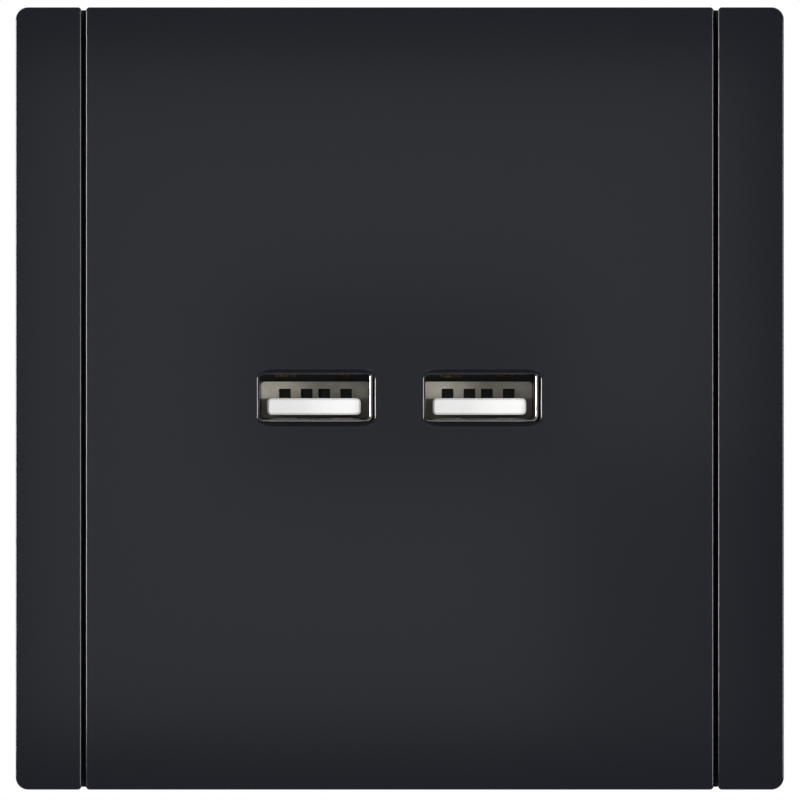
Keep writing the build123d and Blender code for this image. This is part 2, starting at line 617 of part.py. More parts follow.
INPUT_CANS = [(side * INPUT_CAN_X, INPUT_CAN_Z) for side in (-1, 1)]
OUTPUT_CANS = [(OUTPUT_CAN_X, OUTPUT_CAN_Z + side * OUTPUT_CAN_SPACING / 2) for side in (-1, 1)]
BOBBIN_PIN_COLUMN = TUBE_LENGTH / 2 + BOBBIN_RAIL_WIDTH / 2
BOBBIN_PIN_PLACES = [
    (CORE_X + side * BOBBIN_PIN_COLUMN, CORE_Z + (number - (BOBBIN_PINS - 1) / 2) * BOBBIN_PIN_PITCH)
    for side in (-1, 1)
    for number in range(BOBBIN_PINS)
]


def leads(places, top):
    """Square leads from inside a part at that depth, through the board."""
    return [block(x, z, LEAD_SIZE, LEAD_SIZE, top, BOARD_FRONT - LEAD_OUT) for x, z in places]


def capacitor_can(x, z, radius, height, pitch):
    top = BOARD_BACK + height
    can = rod(x, z, radius, top, BOARD_BACK)
    can = chamfer(can.faces().sort_by(Axis.Y)[-1].edges(), CAN_EDGE)
    crimp = Circle(radius) - Circle(radius - CRIMP_DEPTH)
    can -= slab(Pos(x, z) * crimp, BOARD_BACK + CRIMP_RISE + CRIMP_WIDTH, BOARD_BACK + CRIMP_RISE)
    return can + leads(lead_pair(x, z, pitch, upright=True), BOARD_BACK)


def input_capacitors():
    size = (INPUT_CAN_RADIUS, INPUT_CAN_HEIGHT, INPUT_CAN_PITCH)
    return Compound(children=[capacitor_can(x, z, *size) for x, z in INPUT_CANS])


def output_capacitors():
    size = (OUTPUT_CAN_RADIUS, OUTPUT_CAN_HEIGHT, OUTPUT_CAN_PITCH)
    return Compound(children=[capacitor_can(x, z, *size) for x, z in OUTPUT_CANS])


def round_part(x, height):
    """A small sleeved part that stands on the board, as the choke and the fuse do."""
    body = rod(x, ROUND_PART_Z, ROUND_PART_RADIUS, BOARD_BACK + height, BOARD_BACK)
    body = chamfer(body.faces().sort_by(Axis.Y)[-1].edges(), CAN_EDGE)
    return body + leads(lead_pair(x, ROUND_PART_Z, ROUND_PART_PITCH), BOARD_BACK)


def safety_capacitor():
    """A dipped disc that stands on edge over its two leads."""
    centre = BOARD_BACK + DISC_LIFT + DISC_RADIUS
    disc = Cylinder(DISC_RADIUS, DISC_THICKNESS, rotation=(0, 90, 0))
    disc = chamfer(disc.edges().filter_by(GeomType.CIRCLE), DISC_EDGE)
    disc = Pos(DISC_X, centre, DISC_Z) * disc
    return disc + leads(lead_pair(DISC_X, DISC_Z, DISC_PITCH, upright=True), centre)


def transformer_core():
    """Two ferrite halves of E form that meet at the middle of the winding."""
    window = CORE_WIDTH / 2 - CORE_SIDE_LEG - CORE_LEG / 2
    half = Rectangle(CORE_LENGTH / 2, CORE_WIDTH, align=(Align.MIN, Align.CENTER))
    opening = Rectangle(CORE_LENGTH / 2 - CORE_BACK, window, align=(Align.MIN, Align.CENTER))
    for side in (-1, 1):
        half -= Pos(0, side * (CORE_LEG + window) / 2) * opening
    back = BOBBIN_LINE + CORE_THICKNESS / 2
    right = slab(half, back, back - CORE_THICKNESS)
    halves = [Pos(CORE_X, 0, CORE_Z) * solid for solid in (right, mirror(right, about=Plane.YZ))]
    return Compound(children=halves)


def across_core(width, height, length):
    """A block along the core's centre leg, about the transformer's middle."""
    return Pos(CORE_X, BOBBIN_LINE, CORE_Z) * Box(length, height, width)


def transformer_bobbin():
    bobbin = across_core(TUBE_SIZE[0], TUBE_SIZE[1], TUBE_LENGTH)
    flange_x = TUBE_LENGTH / 2 - BOBBIN_FLANGE / 2
    rail_x = TUBE_LENGTH / 2 + BOBBIN_RAIL_WIDTH / 2 - BOBBIN_FLANGE / 2
    rail_width = BOBBIN_RAIL_WIDTH + BOBBIN_FLANGE
    rail_top = BOARD_BACK + BOBBIN_RAIL_HEIGHT
    for side in (-1, 1):
        flange = across_core(BOBBIN_FLANGE_SIZE, BOBBIN_FLANGE_SIZE, BOBBIN_FLANGE)
        bobbin += Pos(side * flange_x, 0, 0) * flange
        x = CORE_X + side * rail_x
        bobbin += block(x, CORE_Z, rail_width, BOBBIN_RAIL_LENGTH, rail_top, BOARD_BACK)
    leg_room = 2 * CORE_PLAY
    bobbin -= across_core(CORE_LEG + leg_room, CORE_THICKNESS + leg_room, TUBE_LENGTH)
    for x, z in BOBBIN_PIN_PLACES:
        bobbin += block(x, z, BOBBIN_PIN_SIZE, BOBBIN_PIN_SIZE, BOARD_BACK, BOARD_FRONT - LEAD_OUT)
    return bobbin


def transformer_winding():
    size = BOBBIN_FLANGE_SIZE - 2 * WINDING_INSET
    length = TUBE_LENGTH - 2 * BOBBIN_FLANGE
    coil = across_core(size, size, length)
    coil = fillet(coil.edges().filter_by(Axis.X), WINDING_ROUND)
    return coil - across_core(TUBE_SIZE[0], TUBE_SIZE[1], length)


def flat_chip(place, size, feet):
    """A moulded part on the front of the board, with feet along its left and right sides."""
    x, z = place
    width, height, thickness = size
    body = block(x, z, width, height, BOARD_FRONT, BOARD_FRONT - thickness)
    body = chamfer(body.faces().sort_by(Axis.Y)[0].edges(), CHIP_EDGE)
    step = height / feet
    span = width + 2 * CHIP_FOOT
    for number in range(feet):
        foot_z = z + (number - (feet - 1) / 2) * step
        body += block(x, foot_z, span, step / 2, BOARD_FRONT, BOARD_FRONT - CHIP_FOOT_HEIGHT)
    return body


def charger_board():
    board = block(0, 0, BOARD_SIZE, BOARD_SIZE, BOARD_BACK, BOARD_FRONT)
    notch = 2 * (BOARD_SIZE / 2 - SCREW_PLACE + SCREW_TUBE_RADIUS + BOARD_NOTCH_ROOM)
    cut = RectangleRounded(notch, notch, BOARD_NOTCH_RADIUS)
    corner = BOARD_SIZE / 2
    for x in (-corner, corner):
        for z in (-corner, corner):
            board -= slab(Pos(x, z) * cut, BOARD_BACK, BOARD_FRONT)
    for port in PORTS.values():
        x = port + RECEPTACLE_SHIFT_X
        for wall in (-1, 1):
            middle = x + wall * (SHELL_WIDTH + SHELL_SHEET) / 2
            board -= block(middle, SHELL_Z, SHELL_SHEET + 2 * PIN_PLAY, SHELL_LEG_WIDTH + 2 * PIN_PLAY,
                           BOARD_BACK, BOARD_FRONT)
        tail_z = SHELL_Z + TONGUE_TOP - CHANNEL_DEPTH + CONTACT_SHEET / 2
        for offset in CONTACT_OFFSETS:
            board -= block(x + offset, tail_z, CONTACT_WIDTH + 2 * PIN_PLAY, CONTACT_SHEET + 2 * PIN_PLAY,
                           BOARD_BACK, BOARD_FRONT)
    for x in POLES.values():
        width = BAR_PIN_WIDTH + 2 * PIN_PLAY
        board -= block(x, BAR_PIN_Z, width, BAR_SHEET + 2 * PIN_PLAY, BOARD_BACK, BOARD_FRONT)
    for x, z in BOBBIN_PIN_PLACES:
        size = BOBBIN_PIN_SIZE + 2 * PIN_PLAY
        board -= block(x, z, size, size, BOARD_BACK, BOARD_FRONT)
    for x, z in lead_places():
        size = LEAD_SIZE + 2 * LEAD_PLAY
        board -= block(x, z, size, size, BOARD_BACK, BOARD_FRONT)
    return board


def lead_places():
    """Every lead's place on the board."""
    places = []
    for x, z in INPUT_CANS:
        places += lead_pair(x, z, INPUT_CAN_PITCH, upright=True)
    for x, z in OUTPUT_CANS:
        places += lead_pair(x, z, OUTPUT_CAN_PITCH, upright=True)
    for x in (-ROUND_PART_X, ROUND_PART_X):
        places += lead_pair(x, ROUND_PART_Z, ROUND_PART_PITCH)
    return places + lead_pair(DISC_X, DISC_Z, DISC_PITCH, upright=True)


def all_parts():
    parts = {
        "surround_frame": surround_frame(),
        "centre_cover": centre_cover(),
        "support_yoke": support_yoke(),
        "front_housing": front_housing(),
        "rear_housing": rear_housing(),
        "housing_screws": Compound(children=[housing_screw(x, z) for x, z in SCREW_PLACES]),
        "charger_board": charger_board(),
        "terminal_block": terminal_block(),
        "input_capacitors": input_capacitors(),
        "output_capacitors": output_capacitors(),
        "safety_capacitor": safety_capacitor(),
        "input_choke": round_part(-ROUND_PART_X, CHOKE_HEIGHT),
        "fuse": round_part(ROUND_PART_X, FUSE_HEIGHT),
        "transformer_core": transformer_core(),
        "transformer_bobbin": transformer_bobbin(),
        "transformer_winding": transformer_winding(),
        "bridge_rectifier": flat_chip(BRIDGE_PLACE, BRIDGE_SIZE, BRIDGE_FEET),
        "controller_chip": flat_chip(CONTROLLER_PLACE, CONTROLLER_SIZE, CONTROLLER_FEET),
        "output_diode": flat_chip(DIODE_PLACE, DIODE_SIZE, DIODE_FEET),
    }
    for side, x in PORTS.items():
        parts[f"usb_shell_{side}"] = usb_shell(x)
        parts[f"usb_insulator_{side}"] = usb_insulator(x)
        parts[f"usb_contacts_{side}"] = usb_contacts(x)
    for pole, x in POLES.items():
        parts[f"{pole}_clamp_screw"] = clamp_screw(x)
        parts[f"{pole}_clamp_cage"] = clamp_cage(x)
        parts[f"{pole}_terminal_bar"] = terminal_bar(x)
    return parts


os.makedirs("parts", exist_ok=True)
for name, shape in all_parts().items():
    export_step(shape, f"parts/{name}.step")
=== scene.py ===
import math

import bpy
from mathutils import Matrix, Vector


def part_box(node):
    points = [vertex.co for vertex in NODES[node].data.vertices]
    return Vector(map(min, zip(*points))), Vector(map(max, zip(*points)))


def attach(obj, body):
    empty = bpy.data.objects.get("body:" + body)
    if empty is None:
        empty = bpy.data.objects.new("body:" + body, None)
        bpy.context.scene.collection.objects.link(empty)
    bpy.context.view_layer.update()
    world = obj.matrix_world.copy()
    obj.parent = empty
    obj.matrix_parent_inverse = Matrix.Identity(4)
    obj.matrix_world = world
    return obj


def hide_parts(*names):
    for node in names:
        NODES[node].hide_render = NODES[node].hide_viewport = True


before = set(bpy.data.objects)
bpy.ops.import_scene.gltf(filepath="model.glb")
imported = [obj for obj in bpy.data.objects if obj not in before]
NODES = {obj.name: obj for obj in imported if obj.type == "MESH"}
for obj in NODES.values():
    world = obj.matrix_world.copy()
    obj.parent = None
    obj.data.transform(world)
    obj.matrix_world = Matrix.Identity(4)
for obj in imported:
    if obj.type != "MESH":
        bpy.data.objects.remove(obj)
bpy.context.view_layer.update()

# A double USB-A wall socket, seen straight on from the front. Metres.
# X runs right and Z up as the socket is seen on the wall, and Y runs into the wall.
MM = 0.001
PLATE_LOW, PLATE_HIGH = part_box("surround_frame")
PLATE_WIDTH = PLATE_HIGH.x - PLATE_LOW.x
FRONT = PLATE_LOW.y

# Photograph: the plate's left and right edges and its middle, in an image of 800 by 800 pixels
IMAGE_SIZE = 800
PLATE_EDGES = (15.6, 783.95)
PLATE_MIDDLE = (399.78, 398.5)
CAMERA_DISTANCE = 0.52
SENSOR = 36.0

# Studio. A lamp has LAMP_POWER for each square metre of its face and each unit of its brightness.
FLOOR_DROP = 0.12
FLOOR_HALF_WIDTH = 1.5
FLOOR_REACH = (-0.05, 0.8)
AMBIENT = 0.18
FRONT_GLOOM = 0.03
GLOOM_EDGES = (-0.2, 0.7)
LAMP_DISTANCE = 0.72
LAMP_POWER = 4.0
SIDE_LAMPS = {
    "left_edge_lamp": {"swing": -75, "rise": 1.1, "size": (0.19, 0.20), "radiance": 27.0},
    "right_lamp": {"swing": 40, "rise": 0, "size": (0.215, 0.21), "radiance": 14.0},
    "left_back_lamp": {"swing": -140, "rise": 35, "size": (0.90, 0.90), "radiance": 0.45},
    "right_back_lamp": {"swing": 150, "rise": 30, "size": (0.90, 0.90), "radiance": 0.3},
}
FILL_LAMPS = {
    "front_fill": {"swing": -3, "rise": 0, "size": (0.20, 0.20), "radiance": 5.6},
    "right_fill": {"swing": 45, "rise": 0, "size": (0.20, 0.20), "radiance": 9.0},
}
FRONT_BOX_PLACE = (-0.0045, 0.0005)
FRONT_BOX_SIZE = (0.166, 0.152)
FRONT_BOX_RADIANCE = 0.275
DARK_CARD_GAP = 0.004
DARK_CARDS = {
    "camera_card": {"place": (0.0, 0.003), "size": (0.072, 0.040), "radiance": 0.15},
    "corner_card": {"place": (0.057, -0.042), "size": (0.042, 0.062), "radiance": 0.17},
}
FLOOR_WHITENESS = 0.85
FLOOR_FADE = 0.06
FLOOR_COLOUR = (0.9, 0.9, 0.9)
FLOOR_BOUNCE = (0.12, 0.12, 0.12)
FLOOR_TONE = 0.01
FLOOR_MOTTLE = 60 * MM
FLOOR_ROUGHNESS = 0.9

# Finishes. Grain and rolling lines are given as size and depth, tone and gloss as how far they vary.
FRONT_COLOUR = (0.0102, 0.0111, 0.0153)
FRONT_TONE = 0.012
FRONT_MOTTLE = 25 * MM
FRONT_GRAIN = (0.25 * MM, 0.0006 * MM)
FRONT_ROUGHNESS = (0.106, 0.114)
FRONT_IOR = 1.58
MOULDED_MOTTLE = 9 * MM
MOULDED_TONE = 0.04
MOULDED_GLOSS = 0.03
COARSE_GRAIN = (0.35 * MM, 0.010 * MM)
DULL_GRAIN = (0.30 * MM, 0.006 * MM)
SHRUNK_SKIN = (0.90 * MM, 0.012 * MM)
LACQUER_GRAIN = (0.50 * MM, 0.006 * MM)
FERRITE_GRIT = (0.20 * MM, 0.020 * MM)
EPOXY_GRAIN = (0.15 * MM, 0.006 * MM)
MOULDED_FINISHES = {
    "housing_plastic": {"colour": (0.030, 0.031, 0.033), "roughness": 0.45, "grain": COARSE_GRAIN},
    "terminal_plastic": {"colour": (0.16, 0.17, 0.18), "roughness": 0.5, "grain": DULL_GRAIN},
    "board_laminate": {"colour": (0.012, 0.020, 0.017), "roughness": 0.3, "grain": LACQUER_GRAIN},
    "can_sleeve": {"colour": (0.030, 0.035, 0.050), "roughness": 0.25, "grain": SHRUNK_SKIN},
    "disc_coating": {"colour": (0.05, 0.20, 0.48), "roughness": 0.25, "grain": SHRUNK_SKIN},
    "choke_sleeve": {"colour": (0.05, 0.05, 0.05), "roughness": 0.3, "grain": SHRUNK_SKIN},
    "fuse_body": {"colour": (0.30, 0.15, 0.07), "roughness": 0.45, "grain": DULL_GRAIN},
    "ferrite": {"colour": (0.05, 0.05, 0.05), "roughness": 0.6, "grain": FERRITE_GRIT},
    "bobbin_plastic": {"colour": (0.03, 0.03, 0.03), "roughness": 0.45, "grain": DULL_GRAIN},
    "winding_tape": {"colour": (0.80, 0.62, 0.10), "roughness": 0.25, "grain": SHRUNK_SKIN},
    "chip_epoxy": {"colour": (0.03, 0.03, 0.03), "roughness": 0.55, "grain": EPOXY_GRAIN},
}
PLATED_TONE = 0.15
PLATED_GLOSS = 0.08
DRAWN_LINES = (0.10 * MM, 0.0015 * MM)
ROLLED_LINES = (0.30 * MM, 0.002 * MM)
GILT_LINES = (0.05 * MM, 0.001 * MM)
LINE_STRETCH = (1.0, 0.03, 1.0)
PLATED_FINISHES = {
    "galvanised_steel": {
        "colour": (0.62, 0.63, 0.64),
        "roughness": 0.38,
        "lines": ROLLED_LINES,
        "patch_size": 3 * MM,
        "tone": 0.05,
        "gloss": 0.06,
    },
    "screw_steel": {
        "colour": (0.60, 0.60, 0.60),
        "roughness": 0.3,
        "lines": DRAWN_LINES,
        "patch_size": 0.8 * MM,
    },
    "contact_gilt": {
        "colour": (0.83, 0.62, 0.27),
        "roughness": 0.22,
        "lines": GILT_LINES,
        "patch_size": 0.5 * MM,
    },
    "terminal_brass": {
        "colour": (0.75, 0.58, 0.28),
        "roughness": 0.3,
        "lines": DRAWN_LINES,
        "patch_size": 0.9 * MM,
    },
}

# Grooves between the cover and the rails, dull and painted near black as shade below the reach of the
# polished faces
GROOVE_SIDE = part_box("centre_cover")[1].x + 1 * MM
GROOVE_END = PLATE_HIGH.z - 0.4 * MM
GROOVE_SHADE_AND_DULL = (FRONT + 0.6 * MM, FRONT + 2.5 * MM)
GROOVE_ROUGHNESS = 0.7
# Painted shade: the near-black colour deep in the grooves
GROOVE_PAINTED_SHADE = (0.0040, 0.0040, 0.0042)

# Port apertures in the cover, above and below which the front looks softly rounded over by a bump and is
# painted darker as shade
PORT_PITCH = 18.6 * MM
PORT_RISE = 0.07 * MM
APERTURE_WIDTH = 12.9 * MM
APERTURE_HEIGHT = 5.2 * MM
RIM_NEAR = 0.3 * MM
RIM_FAR = 0.75 * MM
RIM_SLOPE = 0.3
RIM_FADE = 1.6 * MM
# RIM_SHADE is the share of the colour kept in the painted shade at the port rims
RIM_SHADE = 0.55

# USB receptacles, their insides painted darker and browner with depth as shade
TONGUE_LENGTH = 8.9 * MM
PORT_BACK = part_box("usb_insulator_left")[0].y + TONGUE_LENGTH
SHELL_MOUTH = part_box("usb_shell_left")[0].y
NICKEL_COLOUR = (0.66, 0.645, 0.615)
# Painted shade: the shell's dark brown colours deeper in the port, mixed in random patches
NICKEL_PAINTED_SHADES = ((0.14, 0.12, 0.10), (0.36, 0.31, 0.25))
NICKEL_SHADE_DEPTHS = (SHELL_MOUTH + 0.1 * MM, SHELL_MOUTH + 0.8 * MM)
NICKEL_LINES = (0.08 * MM, 0.001 * MM)
NICKEL_PATCH = 0.9 * MM
NICKEL_ROUGHNESS = (0.17, 0.27)
WHITE_COLOUR = (0.92, 0.92, 0.915)
# Painted shade: the rear wall's greyer, brown-mottled colours, reached with depth into the port
WHITE_PAINTED_SHADES = ((0.47, 0.43, 0.35), (0.61, 0.59, 0.53))
WHITE_SHADE_DEPTHS = (PORT_BACK - 5 * MM, PORT_BACK - 1 * MM)
WHITE_GRAIN = (0.2 * MM, 0.003 * MM)
WHITE_MOTTLE = 2.2 * MM
WHITE_ROUGHNESS = (0.34, 0.44)
TONGUE_TOP = 0.02 * MM
TONGUE_BLUR = 0.1 * MM
# Painted shadow: the colour of the rear wall below the tongue's top
TONGUE_SHADOW_COLOUR = (0.29, 0.26, 0.22)

# Screws: the housing screws and the two clamp screws share one form, with a recess of length, width and depth
HEAD_SIDES = 48
HEAD_STEPS = 16
SHANK_SIDES = 32
STEPS_PER_TURN = 8
HEAD_OVERLAP = 0.2 * MM
SHARP_ANGLE = math.radians(35)
TURN_SEED = 7
RECESS = (2.4 * MM, 0.7 * MM, 1.0 * MM)
RECESS_TAPER = 0.12
HOUSING_SCREW = {
    "Head Radius": 2.2 * MM,
    "Head Height": 1.6 * MM,
    "Head Edge": 0.4 * MM,
    "Shank Radius": 1.1 * MM,
    "Thread Pitch": 0.9 * MM,
    "Thread Depth": 0.28 * MM,
    "Tip Length": 1.6 * MM,
}
CLAMP_SCREW = {
    "Head Radius": 2.3 * MM,
    "Head Height": 1.6 * MM,
    "Head Edge": 0.4 * MM,
    "Shank Radius": 1.45 * MM,
    "Thread Pitch": 0.5 * MM,
    "Thread Depth": 0.27 * MM,
    "Tip Length": 0.4 * MM,
}


# Camera and stage
def place_camera():
    """The camera looks straight along Y, with the photograph's scale at the plate's front face."""
    pixel = PLATE_WIDTH / (PLATE_EDGES[1] - PLATE_EDGES[0])
    view_width = IMAGE_SIZE * pixel
    across = (IMAGE_SIZE / 2 - PLATE_MIDDLE[0]) * pixel
    rise = (PLATE_MIDDLE[1] - IMAGE_SIZE / 2) * pixel
    data = bpy.data.cameras.new("camera")
    data.sensor_width = SENSOR
    data.lens = SENSOR * CAMERA_DISTANCE / view_width
    data.clip_start = 0.01
    camera = bpy.data.objects.new("camera", data)
    camera.location = (across, FRONT - CAMERA_DISTANCE, rise)
    camera.rotation_euler = (math.pi / 2, 0, 0)
    bpy.context.collection.objects.link(camera)
    bpy.context.scene.camera = camera


def flat_sheet(name, corners, material):
    """A flat sheet between four corners."""
    mesh = bpy.data.meshes.new(name)
    mesh.from_pydata(corners, [], [(0, 1, 2, 3)])
    mesh.materials.append(material)
    sheet = bpy.data.objects.new(name, mesh)
    bpy.context.collection.objects.link(sheet)
    return sheet


def lay_floor(material):
    front, back = FLOOR_REACH
    sides = ((-1, front), (1, front), (1, back), (-1, back))
    corners = [(side * FLOOR_HALF_WIDTH, depth, -FLOOR_DROP) for side, depth in sides]
    floor = flat_sheet("studio_floor", corners, material)


def hang_dark_card(name, place, size, radiance):
    """A dim card beside the camera, as the glossy front mirrors it. It throws no shadow."""
    material, _, shader = new_material(name)
    shader.inputs["Base Color"].default_value = (0, 0, 0, 1)
    shader.inputs["Emission Color"].default_value = (1, 1, 1, 1)
    shader.inputs["Emission Strength"].default_value = radiance
    depth = FRONT - CAMERA_DISTANCE + DARK_CARD_GAP
    sides = ((-0.5, -0.5), (0.5, -0.5), (0.5, 0.5), (-0.5, 0.5))
    corners = [(place[0] + x * size[0], depth, place[1] + z * size[1]) for x, z in sides]
    card = flat_sheet(name, corners, material)
    card.visible_camera = False
    card.visible_diffuse = False
    card.visible_shadow = False


def hang_lamp(name, place, size, radiance):
    """A soft rectangular lamp that faces the socket, its power worked out from its size and brightness."""
    data = bpy.data.lights.new(name, "AREA")
    data.shape = "RECTANGLE"
    data.size, data.size_y = size
    data.energy = LAMP_POWER * size[0] * size[1] * radiance
    lamp = bpy.data.objects.new(name, data)
    lamp.location = place
    aim = Vector((0, FRONT, 0)) - Vector(place)
    lamp.rotation_euler = aim.to_track_quat("-Z", "Y").to_euler()
    lamp.visible_camera = False
    bpy.context.collection.objects.link(lamp)
    return lamp


def swing_lamp(name, swing, rise, size, radiance):
    """A lamp at an angle to the side of the line from the plate to the camera, and at an angle above it."""
    turn = math.radians(swing)
    tilt = math.radians(rise)
    across = math.cos(tilt) * math.sin(turn)
    ahead = math.cos(tilt) * math.cos(turn)
    aim = Vector((across, -ahead, math.sin(tilt)))
    return hang_lamp(name, Vector((0, FRONT, 0)) + LAMP_DISTANCE * aim, size, radiance)


def light_studio():
    """Side lamps for the edges, a box round the camera for the front's sheen, and lamps that only fill."""
    for name, lamp in SIDE_LAMPS.items():
        swing_lamp(name, **lamp)
    across, rise = FRONT_BOX_PLACE
    place = (across, FRONT - CAMERA_DISTANCE, rise)
    front_box = hang_lamp("front_box", place, FRONT_BOX_SIZE, FRONT_BOX_RADIANCE)
    front_box.rotation_euler = (math.pi / 2, 0, 0)
    for name, lamp in FILL_LAMPS.items():
        swing_lamp(name, **lamp).visible_glossy = False


def surround_with_white():
    """White for what the camera sees, and dim for reflections of what lies in front of the plate."""
    world = bpy.data.worlds.new("white_studio")
    world.use_nodes = True
    bpy.context.scene.world = world
    tree = world.node_tree
    tree.nodes.clear()
    output = tree.nodes.new("ShaderNodeOutputWorld")
    background = tree.nodes.new("ShaderNodeBackground")
    background.inputs["Color"].default_value = (1, 1, 1, 1)
    path = tree.nodes.new("ShaderNodeLightPath")
    place = tree.nodes.new("ShaderNodeTexCoord")
    split = tree.nodes.new("ShaderNodeSeparateXYZ")
    gloom = tree.nodes.new("ShaderNodeMapRange")
    gloom.interpolation_type = "SMOOTHSTEP"
    gloom.inputs["From Min"].default_value = GLOOM_EDGES[0]
    gloom.inputs["From Max"].default_value = GLOOM_EDGES[1]
    gloom.inputs["To Min"].default_value = FRONT_GLOOM
    gloom.inputs["To Max"].default_value = 1.0
    mirrored = calculate(tree, "MAXIMUM", path.outputs["Is Glossy Ray"], path.outputs["Is Transmission Ray"])
    reflected = tree.nodes.new("ShaderNodeMix")
    reflected.inputs["A"].default_value = AMBIENT
    seen = tree.nodes.new("ShaderNodeMix")
    seen.inputs["B"].default_value = 1.0
    tree.links.new(place.outputs["Generated"], split.inputs["Vector"])
    tree.links.new(split.outputs["Y"], gloom.inputs["Value"])
    tree.links.new(mirrored, reflected.inputs["Factor"])
    tree.links.new(gloom.outputs["Result"], reflected.inputs["B"])
    tree.links.new(path.outputs["Is Camera Ray"], seen.inputs["Factor"])
    tree.links.new(reflected.outputs["Result"], seen.inputs["A"])
    tree.links.new(seen.outputs["Result"], background.inputs["Strength"])
    tree.links.new(background.outputs["Background"], output.inputs["Surface"])


# Shader groups that several finishes share
def new_group(name, inputs, outputs):
    """An empty shader group with float sockets of these names. Inputs come with their first values."""
    group = bpy.data.node_groups.new(name, "ShaderNodeTree")
    for socket, value in inputs.items():
        item = group.interface.new_socket(name=socket, in_out="INPUT", socket_type="NodeSocketFloat")
        item.default_value = value
    for socket in outputs:
        group.interface.new_socket(name=socket, in_out="OUTPUT", socket_type="NodeSocketFloat")
    start = group.nodes.new("NodeGroupInput")
    end = group.nodes.new("NodeGroupOutput")
    return group, start, end


def scaled_place(group, start, size_name):
    """Object coordinates divided by a size, so that a texture's cells are about that large."""
    place = group.nodes.new("ShaderNodeTexCoord")
    per_metre = group.nodes.new("ShaderNodeMath")
    per_metre.operation = "DIVIDE"
    per_metre.inputs[0].default_value = 1.0
    scale = group.nodes.new("ShaderNodeVectorMath")
    scale.operation = "SCALE"
    group.links.new(start.outputs[size_name], per_metre.inputs[1])
    group.links.new(place.outputs["Object"], scale.inputs["Vector"])
    group.links.new(per_metre.outputs["Value"], scale.inputs["Scale"])
    return scale.outputs["Vector"]


def moulded_grain_group():
    """The fine pebbled grain of a moulded surface, and the broad unevenness of its gloss."""
    sizes = {"Grain Size": DULL_GRAIN[0], "Mottle Size": MOULDED_MOTTLE}
    group, start, end = new_group("moulded_grain", sizes, ("Grain", "Mottle"))
    grain = group.nodes.new("ShaderNodeTexNoise")
    grain.inputs["Scale"].default_value = 1.0
    grain.inputs["Detail"].default_value = 3.0
    mottle = group.nodes.new("ShaderNodeTexNoise")
    mottle.inputs["Scale"].default_value = 1.0
    mottle.inputs["Detail"].default_value = 4.0
    mottle.inputs["Roughness"].default_value = 0.6
    group.links.new(scaled_place(group, start, "Grain Size"), grain.inputs["Vector"])
    group.links.new(scaled_place(group, start, "Mottle Size"), mottle.inputs["Vector"])
    group.links.new(grain.outputs["Fac"], end.inputs["Grain"])
    group.links.new(mottle.outputs["Fac"], end.inputs["Mottle"])
    return group


def rolled_sheet_group():
    """Rolling lines along Y, and the cloudy patches of a plated sheet."""
    sizes = {"Line Size": NICKEL_LINES[0], "Patch Size": NICKEL_PATCH}
    group, start, end = new_group("rolled_sheet", sizes, ("Lines", "Patches"))
    stretch = group.nodes.new("ShaderNodeMapping")
    stretch.inputs["Scale"].default_value = LINE_STRETCH
    lines = group.nodes.new("ShaderNodeTexNoise")
    lines.inputs["Scale"].default_value = 1.0
    lines.inputs["Detail"].default_value = 2.0
    patches = group.nodes.new("ShaderNodeTexNoise")
    patches.inputs["Scale"].default_value = 1.0
    patches.inputs["Detail"].default_value = 5.0
    patches.inputs["Roughness"].default_value = 0.65
    group.links.new(scaled_place(group, start, "Line Size"), stretch.inputs["Vector"])
    group.links.new(stretch.outputs["Vector"], lines.inputs["Vector"])
    group.links.new(scaled_place(group, start, "Patch Size"), patches.inputs["Vector"])
    group.links.new(lines.outputs["Fac"], end.inputs["Lines"])
    group.links.new(patches.outputs["Fac"], end.inputs["Patches"])
    return group


def depth_group():
    """How deep a point lies between a mouth and a back wall along Y, from 0 to 1."""
    places = {"Mouth": FRONT, "Back": 0.0}
    group, start, end = new_group("depth_in_port", places, ("Depth",))
    place = group.nodes.new("ShaderNodeTexCoord")
    split = group.nodes.new("ShaderNodeSeparateXYZ")
    span = group.nodes.new("ShaderNodeMapRange")
    span.interpolation_type = "SMOOTHSTEP"
    group.links.new(place.outputs["Object"], split.inputs["Vector"])
    group.links.new(split.outputs["Y"], span.inputs["Value"])
    group.links.new(start.outputs["Mouth"], span.inputs["From Min"])
    group.links.new(start.outputs["Back"], span.inputs["From Max"])
    group.links.new(span.outputs["Result"], end.inputs["Depth"])
    return group


GRAIN_GROUP = moulded_grain_group()
SHEET_GROUP = rolled_sheet_group()
DEPTH_GROUP = depth_group()


# Materials
def new_material(name):
    """An empty material with a Principled shader at its end."""
    material = bpy.data.materials.new(name)
    material.use_nodes = True
    tree = material.node_tree
    tree.nodes.clear()
    output = tree.nodes.new("ShaderNodeOutputMaterial")
    shader = tree.nodes.new("ShaderNodeBsdfPrincipled")
    tree.links.new(shader.outputs["BSDF"], output.inputs["Surface"])
    return material, tree, shader


def place_group(tree, group, **values):
    """A shared group in a material. Its inputs are named with underscores for spaces."""
    node = tree.nodes.new("ShaderNodeGroup")
    node.node_tree = group
    for name, value in values.items():
        node.inputs[name.replace("_", " ")].default_value = value
    return node


def spread(tree, source, low, high, start=0.3, end=0.7):
    """A value that runs from low to high as its source runs from start to end."""
    node = tree.nodes.new("ShaderNodeMapRange")
    node.inputs["From Min"].default_value = start
    node.inputs["From Max"].default_value = end
    node.inputs["To Min"].default_value = low
    node.inputs["To Max"].default_value = high
    tree.links.new(source, node.inputs["Value"])
    return node.outputs["Result"]


def blend_colours(tree, factor, first, second):
    """A mix of two colours, each a tuple or another node's output."""
    node = tree.nodes.new("ShaderNodeMix")
    node.data_type = "RGBA"
    node.clamp_factor = True
    tree.links.new(factor, node.inputs["Factor"])
    for socket, colour in ((node.inputs[6], first), (node.inputs[7], second)):
        if isinstance(colour, tuple):
            socket.default_value = (*colour, 1)
        else:
            tree.links.new(colour, socket)
    return node.outputs[2]


